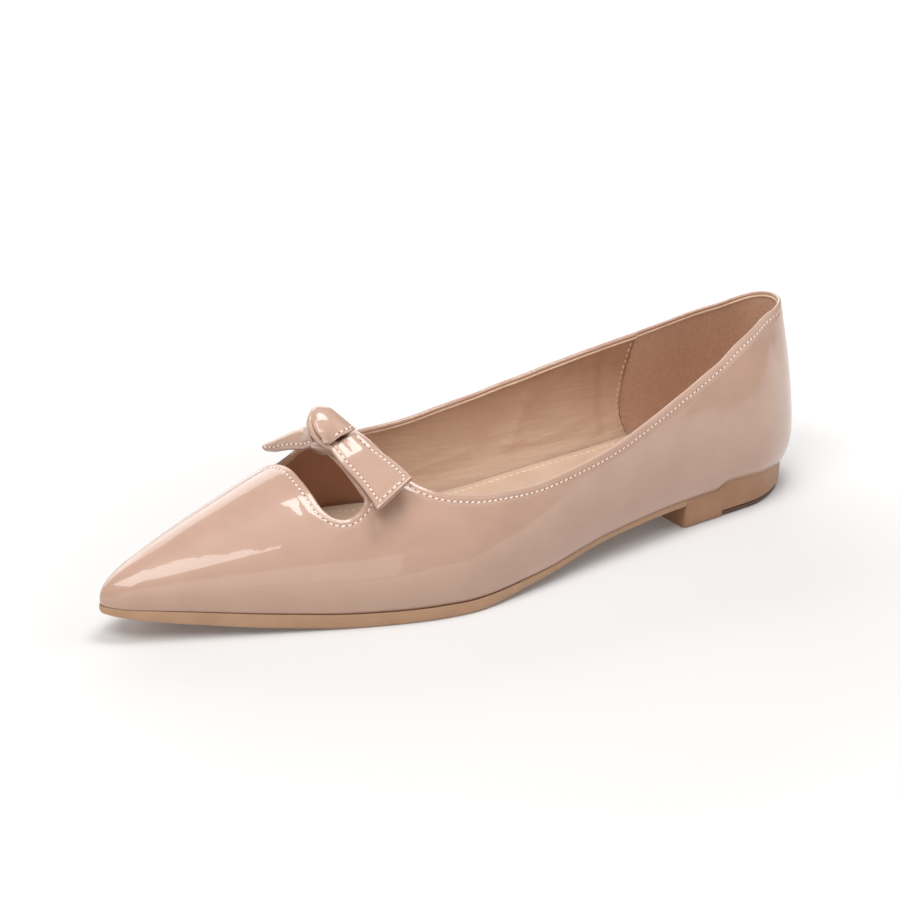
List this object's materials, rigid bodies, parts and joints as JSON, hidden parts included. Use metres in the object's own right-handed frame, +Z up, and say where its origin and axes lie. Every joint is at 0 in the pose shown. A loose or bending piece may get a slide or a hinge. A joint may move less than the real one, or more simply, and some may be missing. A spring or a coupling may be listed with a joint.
{
  "type": "casual shoe",
  "caption": "Pointed-toe patent flat for the left foot, with a vamp cut-out, a strap tied in a knotted bow and a moulded sole with a low block heel.",
  "frame": {"origin": "middle of the shoe's box, on the floor under the sole", "axes": "toe towards -X, heel towards +X, outer side of the foot towards -Y, inner side towards +Y, +Z up"},
  "size_m": [0.2628, 0.0816, 0.0636],
  "materials": {
    "sole": "smooth satin moulding",
    "heel_tip": "matt",
    "upper": "patent gloss",
    "insole": "soft matt",
    "bow": "patent gloss"
  },
  "bodies": {
    "root": {"outsole": "sole", "heel_tip": "heel_tip", "upper": "upper", "insole": "insole", "bow_knot": "bow", "bow_tail_outer": "bow", "bow_tail_inner": "bow"}
  },
  "joints": []
}
